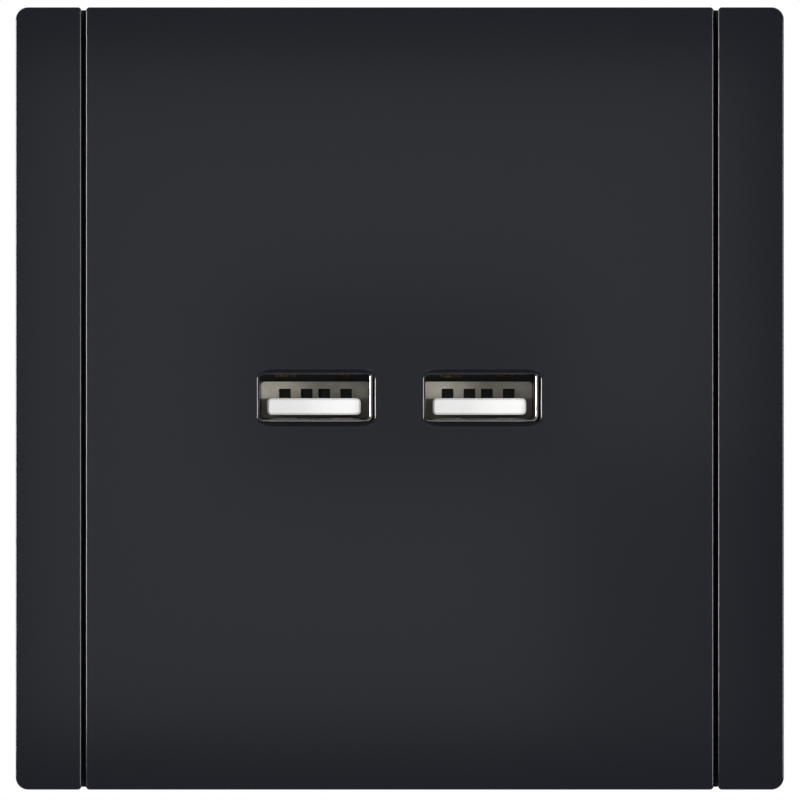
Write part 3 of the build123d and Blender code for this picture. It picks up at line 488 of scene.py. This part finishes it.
def calculate(tree, operation, first, second=0.0):
    """The result of an operation on two values, each a number or another node's output."""
    node = tree.nodes.new("ShaderNodeMath")
    node.operation = operation
    for socket, value in zip(node.inputs, (first, second)):
        if isinstance(value, bpy.types.NodeSocket):
            tree.links.new(value, socket)
        else:
            socket.default_value = value
    return node.outputs["Value"]


def bump(tree, height, depth):
    """A normal that follows a height, which is multiplied by a depth to give metres."""
    node = tree.nodes.new("ShaderNodeBump")
    node.inputs["Strength"].default_value = 1.0
    node.inputs["Distance"].default_value = depth
    tree.links.new(height, node.inputs["Height"])
    return node.outputs["Normal"]


def shade(colour, factor):
    return tuple(channel * factor for channel in colour)


def vary(colour, tone):
    """A colour made darker and lighter by the same share."""
    return shade(colour, 1 - tone), shade(colour, 1 + tone)


def moulded_plastic(name, colour, roughness, grain):
    """Moulded plastic with a pebbled grain, slightly uneven in tone and gloss."""
    material, tree, shader = new_material(name)
    surface = place_group(tree, GRAIN_GROUP, Grain_Size=grain[0], Mottle_Size=MOULDED_MOTTLE)
    mottle = spread(tree, surface.outputs["Mottle"], 0.0, 1.0)
    tinted = blend_colours(tree, mottle, *vary(colour, MOULDED_TONE))
    tree.links.new(tinted, shader.inputs["Base Color"])
    smooth, rough = roughness - MOULDED_GLOSS, roughness + MOULDED_GLOSS
    uneven = spread(tree, surface.outputs["Mottle"], smooth, rough)
    tree.links.new(uneven, shader.inputs["Roughness"])
    tree.links.new(bump(tree, surface.outputs["Grain"], grain[1]), shader.inputs["Normal"])
    return material


def object_place(tree):
    """The X, Y and Z of each point in the shared frame."""
    place = tree.nodes.new("ShaderNodeTexCoord")
    split = tree.nodes.new("ShaderNodeSeparateXYZ")
    tree.links.new(place.outputs["Object"], split.inputs["Vector"])
    return split.outputs["X"], split.outputs["Y"], split.outputs["Z"]


def within(tree, value, limit):
    """One where a value lies between minus a limit and the limit, and nought elsewhere."""
    return calculate(tree, "LESS_THAN", calculate(tree, "ABSOLUTE", value), limit)


def groove_mask(tree, x, z):
    """One deep in the grooves, nought on every face that shows from outside."""
    depth = place_group(tree, DEPTH_GROUP, Mouth=GROOVE_SHADE_AND_DULL[0], Back=GROOVE_SHADE_AND_DULL[1])
    between = calculate(tree, "MULTIPLY", within(tree, x, GROOVE_SIDE), within(tree, z, GROOVE_END))
    return calculate(tree, "MULTIPLY", depth.outputs["Depth"], between)


def rim_drop(tree, x, z):
    """How far the cover is to look sunk towards the upper and lower edge of each port."""
    from_port = calculate(tree, "SUBTRACT", calculate(tree, "ABSOLUTE", x), PORT_PITCH / 2)
    to_end = calculate(tree, "SUBTRACT", APERTURE_WIDTH / 2, calculate(tree, "ABSOLUTE", from_port))
    along = spread(tree, to_end, 0.0, 1.0, 0.0, RIM_FADE)
    from_axis = calculate(tree, "ABSOLUTE", calculate(tree, "SUBTRACT", z, PORT_RISE))
    from_edge = calculate(tree, "SUBTRACT", from_axis, APERTURE_HEIGHT / 2)
    near = calculate(tree, "MAXIMUM", calculate(tree, "SUBTRACT", RIM_NEAR, from_edge), 0.0)
    far = calculate(tree, "MAXIMUM", calculate(tree, "SUBTRACT", RIM_FAR, from_edge), 0.0)
    bend = calculate(tree, "SUBTRACT", far, near)
    curve = calculate(tree, "MULTIPLY", bend, bend)
    curved = calculate(tree, "MULTIPLY", curve, RIM_SLOPE / (2 * (RIM_FAR - RIM_NEAR)))
    straight = calculate(tree, "MULTIPLY", near, RIM_SLOPE)
    return calculate(tree, "MULTIPLY", calculate(tree, "ADD", curved, straight), along)


def front_plastic():
    """Smooth dark plastic of the rails and the cover, sunk by a bump at the ports, painted darker as shade at
    the ports' upper and lower edges and deep in the grooves, and dull in the grooves.
    """
    material, tree, shader = new_material("front_plastic")
    shader.inputs["IOR"].default_value = FRONT_IOR
    surface = place_group(tree, GRAIN_GROUP, Grain_Size=FRONT_GRAIN[0], Mottle_Size=FRONT_MOTTLE)
    x, _, z = object_place(tree)
    groove = groove_mask(tree, x, z)
    drop = rim_drop(tree, x, z)
    # Painted shade: the colour darkens towards the upper and lower edge of each port
    shadow = spread(tree, drop, 0.0, 1.0, 0.0, RIM_SLOPE * (RIM_FAR + RIM_NEAR) / 2)
    mottle = spread(tree, surface.outputs["Mottle"], 0.0, 1.0)
    face = blend_colours(tree, mottle, *vary(FRONT_COLOUR, FRONT_TONE))
    shaded = blend_colours(tree, shadow, face, shade(FRONT_COLOUR, RIM_SHADE))
    # Painted shade: deep in the grooves the colour turns near black
    tree.links.new(blend_colours(tree, groove, shaded, GROOVE_PAINTED_SHADE), shader.inputs["Base Color"])
    gloss = spread(tree, surface.outputs["Mottle"], *FRONT_ROUGHNESS)
    dulled = tree.nodes.new("ShaderNodeMix")
    dulled.inputs["B"].default_value = GROOVE_ROUGHNESS
    tree.links.new(groove, dulled.inputs["Factor"])
    tree.links.new(gloss, dulled.inputs["A"])
    tree.links.new(dulled.outputs["Result"], shader.inputs["Roughness"])
    sunk = bump(tree, calculate(tree, "MULTIPLY", drop, -1.0), 1.0)
    grained = bump(tree, surface.outputs["Grain"], FRONT_GRAIN[1])
    tree.links.new(sunk, grained.node.inputs["Normal"])
    tree.links.new(grained, shader.inputs["Normal"])
    return material


def plated_metal(name, colour, roughness, lines, patch_size, tone=PLATED_TONE, gloss=PLATED_GLOSS):
    """Plated sheet or wire with rolling lines and cloudy patches."""
    material, tree, shader = new_material(name)
    shader.inputs["Metallic"].default_value = 1.0
    surface = place_group(tree, SHEET_GROUP, Line_Size=lines[0], Patch_Size=patch_size)
    cloud = spread(tree, surface.outputs["Patches"], 0.0, 1.0)
    tinted = blend_colours(tree, cloud, *vary(colour, tone))
    tree.links.new(tinted, shader.inputs["Base Color"])
    uneven = spread(tree, surface.outputs["Patches"], roughness - gloss, roughness + gloss)
    tree.links.new(uneven, shader.inputs["Roughness"])
    tree.links.new(bump(tree, surface.outputs["Lines"], lines[1]), shader.inputs["Normal"])
    return material


def port_nickel():
    """Nickelled steel, bright at the mouth and painted dark brown in patches further in, as shade."""
    material, tree, shader = new_material("nickel_plate")
    shader.inputs["Metallic"].default_value = 1.0
    surface = place_group(tree, SHEET_GROUP, Line_Size=NICKEL_LINES[0], Patch_Size=NICKEL_PATCH)
    # Painted shade: the colour turns dark brown with depth into the port
    depth = place_group(tree, DEPTH_GROUP, Mouth=NICKEL_SHADE_DEPTHS[0], Back=NICKEL_SHADE_DEPTHS[1])
    cloud = spread(tree, surface.outputs["Patches"], 0.0, 1.0)
    painted_shade = blend_colours(tree, cloud, *NICKEL_PAINTED_SHADES)
    tinted = blend_colours(tree, depth.outputs["Depth"], NICKEL_COLOUR, painted_shade)
    tree.links.new(tinted, shader.inputs["Base Color"])
    uneven = spread(tree, surface.outputs["Patches"], *NICKEL_ROUGHNESS)
    tree.links.new(uneven, shader.inputs["Roughness"])
    tree.links.new(bump(tree, surface.outputs["Lines"], NICKEL_LINES[1]), shader.inputs["Normal"])
    return material


def port_white():
    """White moulding, painted greyer and mottled brown at its rear wall as shade, and painted darkest below
    the tongue's top as the tongue's shadow.
    """
    material, tree, shader = new_material("white_plastic")
    surface = place_group(tree, GRAIN_GROUP, Grain_Size=WHITE_GRAIN[0], Mottle_Size=WHITE_MOTTLE)
    # Painted shade: the white turns greyer and brown-mottled with depth towards the rear wall
    depth = place_group(tree, DEPTH_GROUP, Mouth=WHITE_SHADE_DEPTHS[0], Back=WHITE_SHADE_DEPTHS[1])
    mottle = spread(tree, surface.outputs["Mottle"], 0.0, 1.0)
    z = object_place(tree)[2]
    below = spread(tree, z, 1.0, 0.0, TONGUE_TOP - TONGUE_BLUR, TONGUE_TOP + TONGUE_BLUR)
    painted_shade = blend_colours(tree, mottle, *WHITE_PAINTED_SHADES)
    # Painted shadow of the tongue, below its top on the deep rear wall
    tongue_shadowed = blend_colours(tree, below, painted_shade, TONGUE_SHADOW_COLOUR)
    tinted = blend_colours(tree, depth.outputs["Depth"], WHITE_COLOUR, tongue_shadowed)
    tree.links.new(tinted, shader.inputs["Base Color"])
    uneven = spread(tree, surface.outputs["Mottle"], *WHITE_ROUGHNESS)
    tree.links.new(uneven, shader.inputs["Roughness"])
    tree.links.new(bump(tree, surface.outputs["Grain"], WHITE_GRAIN[1]), shader.inputs["Normal"])
    return material


def floor_paper():
    """Pale paper that looks whiter than the light it throws back, and wholly white at its edges."""
    material, tree, shader = new_material("studio_paper")
    surface = place_group(tree, GRAIN_GROUP, Mottle_Size=FLOOR_MOTTLE)
    mottle = spread(tree, surface.outputs["Mottle"], 0.0, 1.0)
    paper = blend_colours(tree, mottle, *vary(FLOOR_COLOUR, FLOOR_TONE))
    path = tree.nodes.new("ShaderNodeLightPath")
    mirrored = calculate(tree, "MAXIMUM", path.outputs["Is Glossy Ray"], path.outputs["Is Transmission Ray"])
    seen = calculate(tree, "MAXIMUM", path.outputs["Is Camera Ray"], mirrored)
    tinted = blend_colours(tree, seen, FLOOR_BOUNCE, paper)
    tree.links.new(tinted, shader.inputs["Base Color"])
    shader.inputs["Roughness"].default_value = FLOOR_ROUGHNESS
    output = shader.outputs["BSDF"].links[0].to_node
    x, y, _ = object_place(tree)
    from_side = calculate(tree, "SUBTRACT", FLOOR_HALF_WIDTH, calculate(tree, "ABSOLUTE", x))
    from_front = calculate(tree, "SUBTRACT", y, FLOOR_REACH[0])
    from_back = calculate(tree, "SUBTRACT", FLOOR_REACH[1], y)
    from_edge = calculate(tree, "MINIMUM", from_side, calculate(tree, "MINIMUM", from_front, from_back))
    whiteness = spread(tree, from_edge, 1.0, FLOOR_WHITENESS, 0.0, FLOOR_FADE)
    share = calculate(tree, "MULTIPLY", seen, whiteness)
    white = tree.nodes.new("ShaderNodeEmission")
    mix = tree.nodes.new("ShaderNodeMixShader")
    tree.links.new(share, mix.inputs["Fac"])
    tree.links.new(shader.outputs["BSDF"], mix.inputs[1])
    tree.links.new(white.outputs["Emission"], mix.inputs[2])
    tree.links.new(mix.outputs["Shader"], output.inputs["Surface"])
    return material


def make_finishes():
    """One finish for each slot in the record."""
    finishes = {
        "front_plastic": front_plastic(),
        "nickel_plate": port_nickel(),
        "white_plastic": port_white(),
    }
    for name, values in MOULDED_FINISHES.items():
        finishes[name] = moulded_plastic(name, **values)
    for name, values in PLATED_FINISHES.items():
        finishes[name] = plated_metal(name, **values)
    return finishes


def dress_nodes(finishes):
    """Gives every CAD node the finish of its slot in the record."""
    for node in NODES.values():
        for material_slot in node.material_slots:
            material_slot.material = finishes[material_slot.material.name]


# Threaded screws, made by one tree of geometry nodes
class Tree:
    """A geometry node tree with short calls for the nodes that the screws need."""

    def __init__(self, name):
        self.group = bpy.data.node_groups.new(name, "GeometryNodeTree")
        self.group.is_modifier = True

    def add(self, kind, **settings):
        node = self.group.nodes.new(kind)
        for name, value in settings.items():
            setattr(node, name, value)
        return node

    def link(self, value, socket):
        """A link from another node's output, or a plain value."""
        if isinstance(value, bpy.types.NodeSocket):
            self.group.links.new(value, socket)
        else:
            socket.default_value = value

    def math(self, operation, first, second=0.0):
        return calculate(self.group, operation, first, second)

    def vector(self, x, y, z):
        node = self.add("ShaderNodeCombineXYZ")
        for value, socket in zip((x, y, z), node.inputs):
            self.link(value, socket)
        return node.outputs["Vector"]

    def shift(self, mesh, offset):
        node = self.add("GeometryNodeTransform")
        self.link(mesh, node.inputs["Geometry"])
        self.link(offset, node.inputs["Translation"])
        return node.outputs["Geometry"]

    def cylinder(self, vertices, steps, radius, depth):
        node = self.add("GeometryNodeMeshCylinder")
        self.link(vertices, node.inputs["Vertices"])
        self.link(steps, node.inputs["Side Segments"])
        self.link(radius, node.inputs["Radius"])
        self.link(depth, node.inputs["Depth"])
        return node.outputs["Mesh"]

    def box(self, x, y, z):
        node = self.add("GeometryNodeMeshCube")
        self.link(self.vector(x, y, z), node.inputs["Size"])
        return node.outputs["Mesh"]

    def unite(self, first, second):
        node = self.add("GeometryNodeMeshBoolean", operation="UNION", solver="EXACT")
        self.link(first, node.inputs["Mesh 2"])
        self.link(second, node.inputs["Mesh 2"])
        return node.outputs["Mesh"]

    def cut(self, mesh, cutter):
        node = self.add("GeometryNodeMeshBoolean", operation="DIFFERENCE", solver="EXACT")
        self.link(mesh, node.inputs["Mesh 1"])
        self.link(cutter, node.inputs["Mesh 2"])
        return node.outputs["Mesh"]

    def join(self, first, second):
        """Two closed meshes in one, left as they are where they overlap."""
        node = self.add("GeometryNodeJoinGeometry")
        self.link(first, node.inputs["Geometry"])
        self.link(second, node.inputs["Geometry"])
        return node.outputs["Geometry"]

    def widen(self, mesh, factor):
        """Moves every point of a mesh away from the Z axis, by a factor that may change over it."""
        node = self.add("GeometryNodeSetPosition")
        place = self.add("GeometryNodeInputPosition").outputs["Position"]
        stretch = self.add("ShaderNodeVectorMath", operation="MULTIPLY")
        self.link(place, stretch.inputs[0])
        self.link(self.vector(factor, factor, 1.0), stretch.inputs[1])
        self.link(mesh, node.inputs["Geometry"])
        self.link(stretch.outputs["Vector"], node.inputs["Position"])
        return node.outputs["Geometry"]

    def place(self):
        node = self.add("ShaderNodeSeparateXYZ")
        self.link(self.add("GeometryNodeInputPosition").outputs["Position"], node.inputs["Vector"])
        return node.outputs["X"], node.outputs["Y"], node.outputs["Z"]


def screw_head(tree, sizes):
    """A cylinder above Z = 0, rounded over at its upper edge."""
    radius, height, edge = sizes["Head Radius"], sizes["Head Height"], sizes["Head Edge"]
    blank = tree.cylinder(HEAD_SIDES, HEAD_STEPS, radius, height)
    blank = tree.shift(blank, tree.vector(0.0, 0.0, tree.math("MULTIPLY", height, 0.5)))
    above = tree.math("SUBTRACT", tree.place()[2], tree.math("SUBTRACT", height, edge))
    part = tree.math("MAXIMUM", tree.math("DIVIDE", above, edge), 0.0)
    across = tree.math("SQRT", tree.math("SUBTRACT", 1.0, tree.math("MULTIPLY", part, part)))
    lost = tree.math("SUBTRACT", 1.0, across)
    factor = tree.math("SUBTRACT", 1.0, tree.math("MULTIPLY", lost, tree.math("DIVIDE", edge, radius)))
    return tree.widen(blank, factor)


def screw_shank(tree, sizes):
    """A cylinder below Z = 0 with a helical ridge, tapered at its tip."""
    radius, length = sizes["Shank Radius"], sizes["Shank Length"]
    turns = tree.math("DIVIDE", length, sizes["Thread Pitch"])
    steps = tree.math("MULTIPLY", turns, STEPS_PER_TURN)
    depth = tree.math("ADD", length, HEAD_OVERLAP)
    blank = tree.cylinder(SHANK_SIDES, steps, radius, depth)
    middle = tree.math("SUBTRACT", HEAD_OVERLAP, tree.math("MULTIPLY", depth, 0.5))
    blank = tree.shift(blank, tree.vector(0.0, 0.0, middle))
    x, y, z = tree.place()
    angle = tree.math("DIVIDE", tree.math("ARCTAN2", y, x), 2 * math.pi)
    turn = tree.math("FRACT", tree.math("SUBTRACT", tree.math("DIVIDE", z, sizes["Thread Pitch"]), angle))
    flank = tree.math("ABSOLUTE", tree.math("SUBTRACT", tree.math("MULTIPLY", turn, 2.0), 1.0))
    valley = tree.math("MULTIPLY", flank, tree.math("DIVIDE", sizes["Thread Depth"], radius))
    to_tip = tree.math("DIVIDE", tree.math("ADD", z, length), sizes["Tip Length"])
    taper = tree.math("MINIMUM", tree.math("ADD", tree.math("MULTIPLY", to_tip, 0.5), 0.5), 1.0)
    return tree.widen(blank, tree.math("MULTIPLY", tree.math("SUBTRACT", 1.0, valley), taper))


def cross_arm(tree, x, y, depth):
    """One arm of a cross recess about Z = 0, of its full size there and tapered to its floor."""
    lean = tree.math("MULTIPLY", tree.math("DIVIDE", tree.place()[2], depth), 1 - RECESS_TAPER)
    return tree.widen(tree.box(x, y, 2 * depth), tree.math("ADD", lean, 1.0))


def screw_tree():
    """Sets a threaded screw on every point of a mesh, its head towards +Y and its cross turned at random."""
    tree = Tree("threaded_screw")
    face = tree.group.interface
    face.new_socket(name="Places", in_out="INPUT", socket_type="NodeSocketGeometry")
    for name in (*HOUSING_SCREW, "Shank Length"):
        face.new_socket(name=name, in_out="INPUT", socket_type="NodeSocketFloat")
    face.new_socket(name="Finish", in_out="INPUT", socket_type="NodeSocketMaterial")
    face.new_socket(name="Screws", in_out="OUTPUT", socket_type="NodeSocketGeometry")
    sizes = tree.add("NodeGroupInput").outputs
    length, width, depth = RECESS
    cross = tree.unite(cross_arm(tree, width, length, depth), cross_arm(tree, length, width, depth))
    recess = tree.shift(cross, tree.vector(0.0, 0.0, sizes["Head Height"]))
    screw = tree.join(tree.cut(screw_head(tree, sizes), recess), screw_shank(tree, sizes))
    stand = tree.add("GeometryNodeTransform")
    tree.link(screw, stand.inputs["Geometry"])
    stand.inputs["Rotation"].default_value = (-math.pi / 2, 0, 0)
    spin = tree.add("FunctionNodeRandomValue", data_type="FLOAT")
    spin.inputs["Max"].default_value = math.pi / 2
    spin.inputs["Seed"].default_value = TURN_SEED
    places = tree.add("GeometryNodeInstanceOnPoints")
    tree.link(sizes["Places"], places.inputs["Points"])
    tree.link(stand.outputs["Geometry"], places.inputs["Instance"])
    tree.link(tree.vector(0.0, spin.outputs[1], 0.0), places.inputs["Rotation"])
    solid = tree.add("GeometryNodeRealizeInstances")
    tree.link(places.outputs["Instances"], solid.inputs["Geometry"])
    coat = tree.add("GeometryNodeSetMaterial")
    tree.link(solid.outputs["Geometry"], coat.inputs["Geometry"])
    tree.link(sizes["Finish"], coat.inputs["Material"])
    end = tree.add("NodeGroupOutput")
    tree.link(coat.outputs["Geometry"], end.inputs["Screws"])
    return tree.group


def make_screws(name, tree, sizes, places, shank_length, finish):
    """One mesh of screws, their heads' undersides at these places."""
    points = bpy.data.meshes.new(name + "_places")
    points.from_pydata(places, [], [])
    maker = bpy.data.objects.new(name + "_places", points)
    bpy.context.collection.objects.link(maker)
    modifier = maker.modifiers.new("screws", "NODES")
    modifier.node_group = tree
    values = {**sizes, "Shank Length": shank_length, "Finish": finish}
    for item in tree.interface.items_tree:
        if item.name in values:
            modifier[item.identifier] = values[item.name]
    evaluated = maker.evaluated_get(bpy.context.evaluated_depsgraph_get())
    mesh = bpy.data.meshes.new_from_object(evaluated)
    bpy.data.objects.remove(maker)
    mesh.name = name
    mesh.shade_smooth()
    mesh.set_sharp_from_angle(angle=SHARP_ANGLE)
    screws = bpy.data.objects.new(name, mesh)
    bpy.context.collection.objects.link(screws)
    return screws


def fit_screws(finish):
    """Threaded screws in place of the plain ones, each on the body that carries it."""
    tree = screw_tree()
    bodies = {
        "housing_screws": "socket",
        "live_clamp_screw": "live_screw",
        "neutral_clamp_screw": "neutral_screw",
    }
    for node, body in bodies.items():
        low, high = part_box(node)
        sizes = HOUSING_SCREW if node == "housing_screws" else CLAMP_SCREW
        seat = high.y - sizes["Head Height"]
        head = sizes["Head Radius"]
        columns = sorted({round(low.x + head, 6), round(high.x - head, 6)})
        rows = sorted({round(low.z + head, 6), round(high.z - head, 6)})
        places = [(x, seat, z) for x in columns for z in rows]
        screws = make_screws("threaded_" + node, tree, sizes, places, seat - low.y, finish)
        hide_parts(node)
        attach(screws, body)


bpy.context.scene.view_settings.view_transform = "Standard"
place_camera()
surround_with_white()
light_studio()
for card_name, card in DARK_CARDS.items():
    hang_dark_card(card_name, **card)
lay_floor(floor_paper())
finishes = make_finishes()
dress_nodes(finishes)
fit_screws(finishes["screw_steel"])
